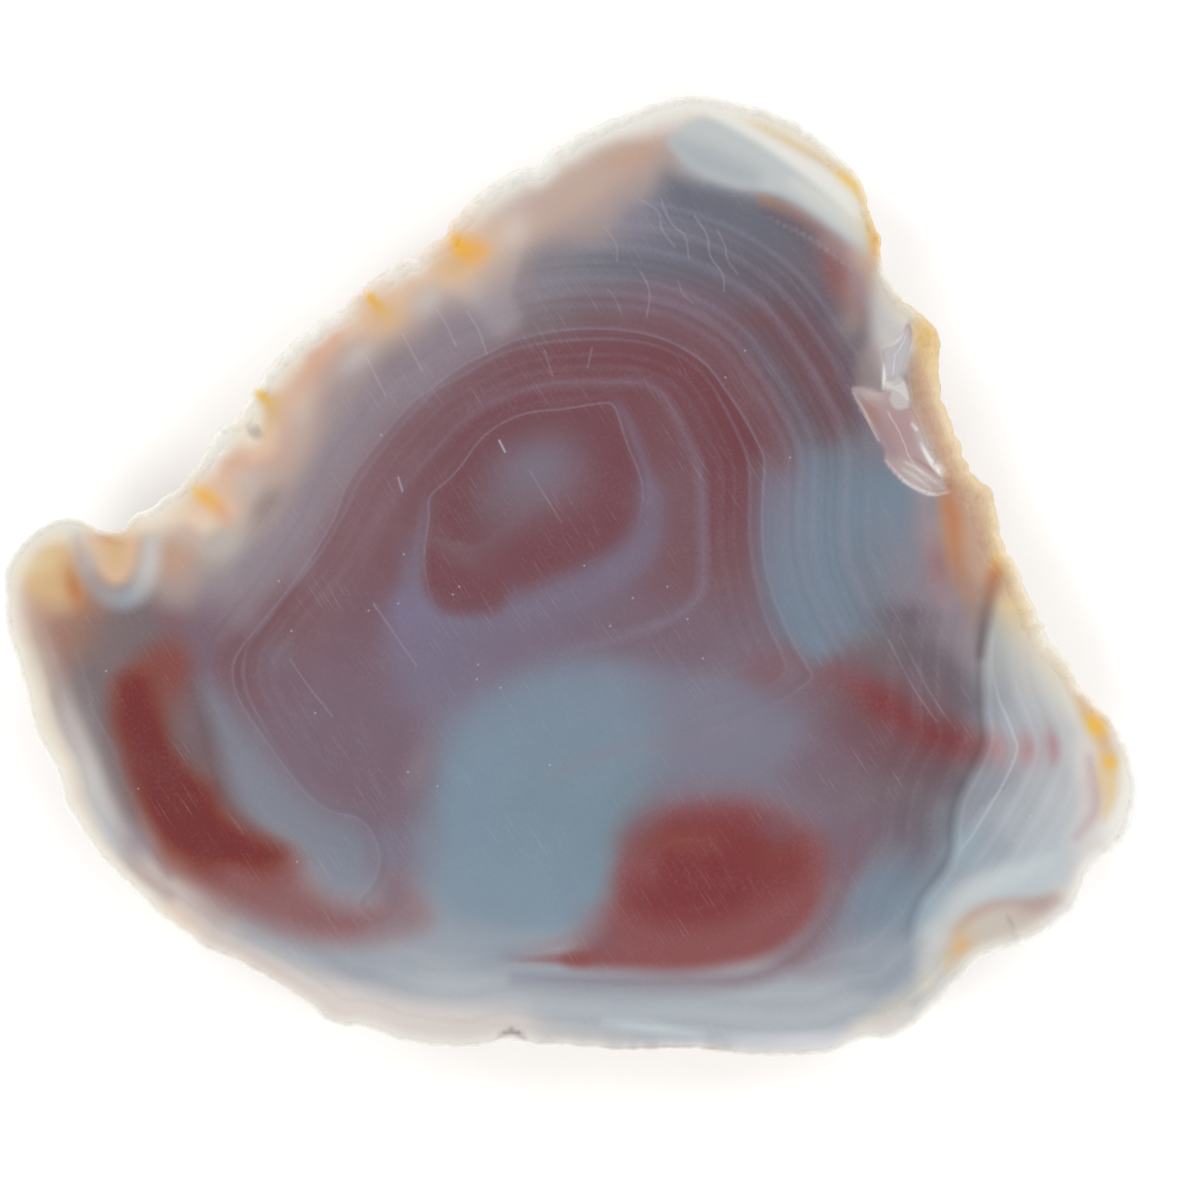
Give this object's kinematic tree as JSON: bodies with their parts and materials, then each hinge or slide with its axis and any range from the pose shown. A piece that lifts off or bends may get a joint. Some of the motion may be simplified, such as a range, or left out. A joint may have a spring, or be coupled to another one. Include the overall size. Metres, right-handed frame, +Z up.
{
  "type": "agate nodule half",
  "caption": "Half of a lumpy agate nodule, sawn and polished flat to show its banding, with a rough domed back that rests on a small flat spot.",
  "frame": {"origin": "under the middle of the stone's box, on the surface that it rests on", "axes": "+Z up out of the polished face, +X towards the pointed lobe on the right of the face, +Y towards the crown of the face"},
  "size_m": [0.0808, 0.0684, 0.031],
  "materials": {
    "agate": "polished face, rough skin"
  },
  "bodies": {
    "root": {"agate_nodule": "agate"}
  },
  "joints": []
}
